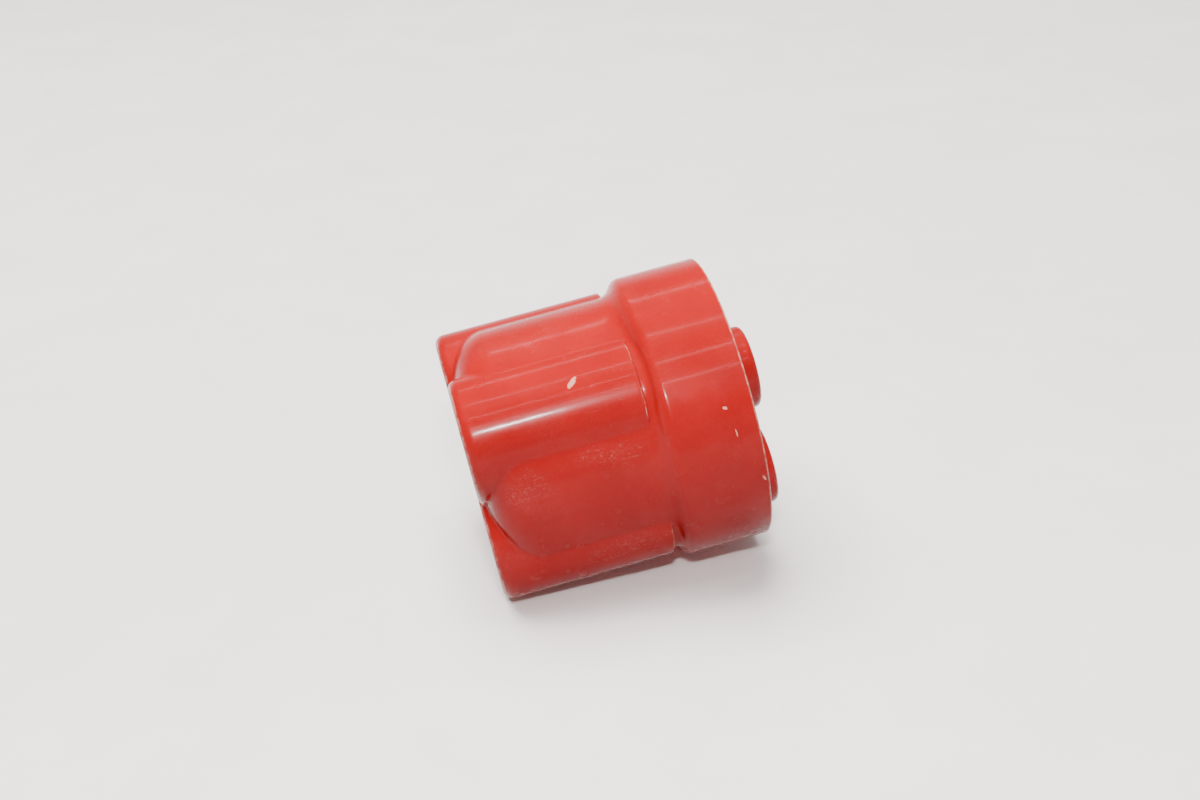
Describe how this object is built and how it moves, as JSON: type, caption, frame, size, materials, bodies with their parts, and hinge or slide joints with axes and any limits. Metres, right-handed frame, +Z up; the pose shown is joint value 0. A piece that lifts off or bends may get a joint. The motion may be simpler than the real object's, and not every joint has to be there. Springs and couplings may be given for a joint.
{
  "type": "battery switch",
  "caption": "Round panel-mounted battery switch with a collar and a lobed drum; its sunken knob turns a quarter turn to join threaded terminals in pairs.",
  "frame": {"origin": "centre of the collar's rim, in the plane that sits on the panel", "axes": "+Y along the switch's axis, out of its rear towards the terminals, so that the knob faces -Y; +Z up; +X to the right seen from the front"},
  "size_m": [0.1, 0.1004, 0.1],
  "materials": {
    "red_moulding": "glossy, slightly dusty",
    "knob_plastic": "fine satin",
    "white_inlay": "satin",
    "brass": "machined",
    "copper": "rolled copper",
    "contact_silver": "silver alloy, turned",
    "steel": "ground",
    "zinc_steel": "bright zinc plate",
    "spring_steel": "drawn wire and strip",
    "carrier_plastic": "satin",
    "rubber": "matt",
    "bronze": "sintered bronze",
    "washer_plastic": "natural"
  },
  "bodies": {
    "case": {"housing": "red_moulding", "rear_cover": "red_moulding", "cover_gasket": "rubber", "cover_screws": "zinc_steel", "panel_inserts": "brass", "terminal_seals": "rubber", "shaft_bush": "bronze", "rear_bush": "bronze", "return_spring": "spring_steel", "detent_spring_upper": "spring_steel", "detent_spring_lower": "spring_steel", "detent_screws": "zinc_steel", "off_mark": "white_inlay", "on_mark": "white_inlay", "terminal_1": "brass", "fixed_contact_1": "contact_silver", "terminal_2": "brass", "fixed_contact_2": "contact_silver", "terminal_3": "brass", "fixed_contact_3": "contact_silver", "terminal_4": "brass", "fixed_contact_4": "contact_silver"},
    "rotor": {"shaft": "steel", "cross_pin": "steel", "detent_wheel": "steel", "thrust_washer": "washer_plastic", "shaft_seal": "rubber", "retaining_ring": "spring_steel", "knob": "knob_plastic", "knob_screw": "zinc_steel", "knob_cap": "knob_plastic", "pointer_inlay": "white_inlay"},
    "carrier": {"contact_carrier": "carrier_plastic", "bridge_upper": "copper", "bridge_lower": "copper", "bridge_tips_upper": "contact_silver", "bridge_tips_lower": "contact_silver", "bridge_stud_upper": "steel", "bridge_stud_lower": "steel", "bridge_spring_upper": "spring_steel", "bridge_spring_lower": "spring_steel"}
  },
  "joints": [
    {"name": "knob_turn", "type": "hinge", "parent": "case", "child": "rotor", "pos_m": [0, -0.0702, 0], "axis": [0, 1, 0], "range_deg": [0, 90], "deforming": ["detent_spring_upper", "detent_spring_lower"]},
    {"name": "carrier_slide", "type": "slide", "parent": "case", "child": "carrier", "axis": [0, 1, 0], "range_m": [0, 0.004], "deforming": ["return_spring"]}
  ],
  "couplings": [
    {"joint": "carrier_slide", "follows": "knob_turn", "m_per_rad": 0.0025465}
  ]
}
